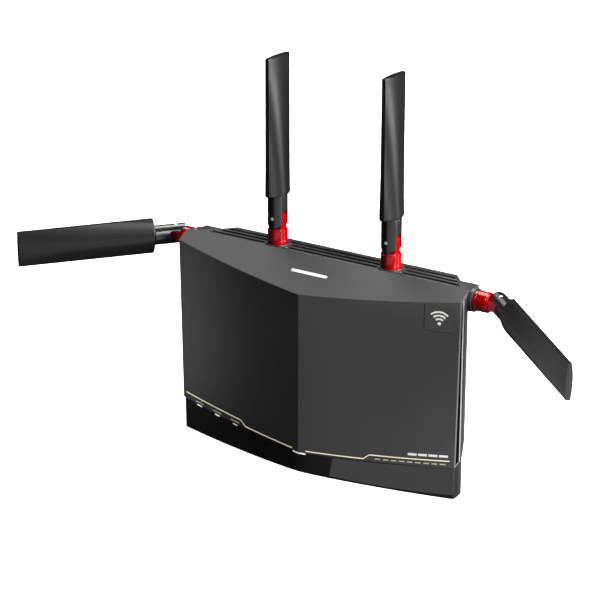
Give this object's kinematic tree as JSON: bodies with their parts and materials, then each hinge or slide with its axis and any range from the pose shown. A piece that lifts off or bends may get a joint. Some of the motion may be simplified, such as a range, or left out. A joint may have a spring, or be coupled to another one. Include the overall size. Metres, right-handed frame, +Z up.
{
  "type": "wireless router",
  "caption": "Upright desktop wireless router with a ridged front, a sloping roof, a port bay at the back and jointed paddle antennas.",
  "frame": {"origin": "on the resting plane, under the middle of the body's footprint", "axes": "+Z up, -Y the ridged front, +X to the right seen from the front"},
  "size_m": [0.5616, 0.1418, 0.368],
  "materials": {
    "grey_satin": "satin, fine grain",
    "black_gloss": "high gloss",
    "black_satin": "satin",
    "antenna_black": "satin, soft sheen",
    "gunmetal": "satin",
    "red_gloss": "glossy",
    "steel": "polished",
    "rubber": "matte",
    "board": "solder mask",
    "heat_sink": "anodised",
    "light_guide": "clear frosted",
    "label": "printed film",
    "jack_black": "satin",
    "jack_blue": "satin",
    "cable": "matte jacket"
  },
  "bodies": {
    "base": {"front_cover": "grey_satin", "lower_bezel": "black_gloss", "light_bar": "light_guide", "status_light_guide": "light_guide", "mid_frame": "gunmetal", "rear_cover": "black_satin", "base_plate": "black_satin", "main_board": "board", "heat_sink": "heat_sink", "shield_can": "steel", "wan_jack": "jack_blue", "lan_jack_block": "jack_black", "usb_port": "steel", "dc_jack": "jack_black", "rating_label": "label", "cover_screw_1": "steel", "cover_screw_2": "steel", "cover_screw_3": "steel", "cover_screw_4": "steel", "rubber_foot_1": "rubber", "rubber_foot_2": "rubber", "rubber_foot_3": "rubber", "rubber_foot_4": "rubber", "antenna_socket_top_left": "black_satin", "antenna_socket_top_right": "black_satin", "antenna_socket_side_left": "black_satin", "antenna_socket_side_right": "black_satin", "coax_lead_top_left": "cable", "coax_lead_top_right": "cable", "coax_lead_side_left": "cable", "coax_lead_side_right": "cable"},
    "swivel_top_left": {"knuckle_top_left": "red_gloss"},
    "arm_top_left": {"fork_top_left": "antenna_black", "hinge_pin_top_left": "steel"},
    "blade_top_left": {"paddle_top_left": "antenna_black", "antenna_board_top_left": "board"},
    "swivel_top_right": {"knuckle_top_right": "red_gloss"},
    "arm_top_right": {"fork_top_right": "antenna_black", "hinge_pin_top_right": "steel"},
    "blade_top_right": {"paddle_top_right": "antenna_black", "antenna_board_top_right": "board"},
    "swivel_side_left": {"knuckle_side_left": "red_gloss"},
    "arm_side_left": {"fork_side_left": "antenna_black", "hinge_pin_side_left": "steel"},
    "blade_side_left": {"paddle_side_left": "antenna_black", "antenna_board_side_left": "board"},
    "swivel_side_right": {"knuckle_side_right": "red_gloss"},
    "arm_side_right": {"fork_side_right": "antenna_black", "hinge_pin_side_right": "steel"},
    "blade_side_right": {"paddle_side_right": "antenna_black", "antenna_board_side_right": "board"},
    "power_button": {"power_button": "black_satin"},
    "reset_button": {"reset_button": "red_gloss"},
    "setup_button": {"setup_button": "gunmetal"},
    "slide_switch_1": {"slide_switch_1": "gunmetal"},
    "slide_switch_2": {"slide_switch_2": "gunmetal"}
  },
  "joints": [
    {"name": "swivel_top_left", "type": "hinge", "parent": "base", "child": "swivel_top_left", "pos_m": [-0.0605, 0.0193, 0.1915], "axis": [0, 0, 1], "range_deg": [-90, 90]},
    {"name": "fold_top_left", "type": "hinge", "parent": "swivel_top_left", "child": "arm_top_left", "pos_m": [-0.0605, 0.0193, 0.2175], "axis": [0, -1, 0], "range_deg": [0, 90]},
    {"name": "twist_top_left", "type": "hinge", "parent": "arm_top_left", "child": "blade_top_left", "pos_m": [-0.0605, 0.0193, 0.2175], "axis": [0, 0, 1], "range_deg": [-90, 90]},
    {"name": "swivel_top_right", "type": "hinge", "parent": "base", "child": "swivel_top_right", "pos_m": [0.0605, 0.0193, 0.1915], "axis": [0, 0, 1], "range_deg": [-90, 90]},
    {"name": "fold_top_right", "type": "hinge", "parent": "swivel_top_right", "child": "arm_top_right", "pos_m": [0.0605, 0.0193, 0.2175], "axis": [0, 1, 0], "range_deg": [0, 90]},
    {"name": "twist_top_right", "type": "hinge", "parent": "arm_top_right", "child": "blade_top_right", "pos_m": [0.0605, 0.0193, 0.2175], "axis": [0, 0, 1], "range_deg": [-90, 90]},
    {"name": "swivel_side_left", "type": "hinge", "parent": "base", "child": "swivel_side_left", "pos_m": [-0.148, 0.0163, 0.181], "axis": [-1, 0, 0], "range_deg": [-90, 90]},
    {"name": "fold_side_left", "type": "hinge", "parent": "swivel_side_left", "child": "arm_side_left", "pos_m": [-0.174, 0.0163, 0.181], "axis": [0, 0, 1], "range_deg": [-52, 38]},
    {"name": "twist_side_left", "type": "hinge", "parent": "arm_side_left", "child": "blade_side_left", "pos_m": [-0.174, 0.0163, 0.181], "axis": [-0.6157, -0.788, 0], "range_deg": [-90, 90]},
    {"name": "swivel_side_right", "type": "hinge", "parent": "base", "child": "swivel_side_right", "pos_m": [0.148, 0.0163, 0.181], "axis": [1, 0, 0], "range_deg": [-97.6, 82.4]},
    {"name": "fold_side_right", "type": "hinge", "parent": "swivel_side_right", "child": "arm_side_right", "pos_m": [0.174, 0.0163, 0.181], "axis": [0, 0.1323, -0.9912], "range_deg": [-39.6, 50.4]},
    {"name": "twist_side_right", "type": "hinge", "parent": "arm_side_right", "child": "blade_side_right", "pos_m": [0.174, 0.0163, 0.181], "axis": [0.7705, -0.6318, -0.0843], "range_deg": [-85.4, 94.6]},
    {"name": "power_button_press", "type": "slide", "parent": "base", "child": "power_button", "axis": [0, -1, 0], "range_m": [0, 0.0015], "stiffness_N_per_m": 500},
    {"name": "reset_button_press", "type": "slide", "parent": "base", "child": "reset_button", "axis": [0, -1, 0], "range_m": [0, 0.001], "stiffness_N_per_m": 400},
    {"name": "setup_button_press", "type": "slide", "parent": "base", "child": "setup_button", "axis": [0, -1, 0], "range_m": [0, 0.0012], "stiffness_N_per_m": 400},
    {"name": "slide_switch_1_slide", "type": "slide", "parent": "base", "child": "slide_switch_1", "axis": [1, 0, 0], "range_m": [-0.002, 0.002]},
    {"name": "slide_switch_2_slide", "type": "slide", "parent": "base", "child": "slide_switch_2", "axis": [1, 0, 0], "range_m": [-0.002, 0.002]}
  ]
}
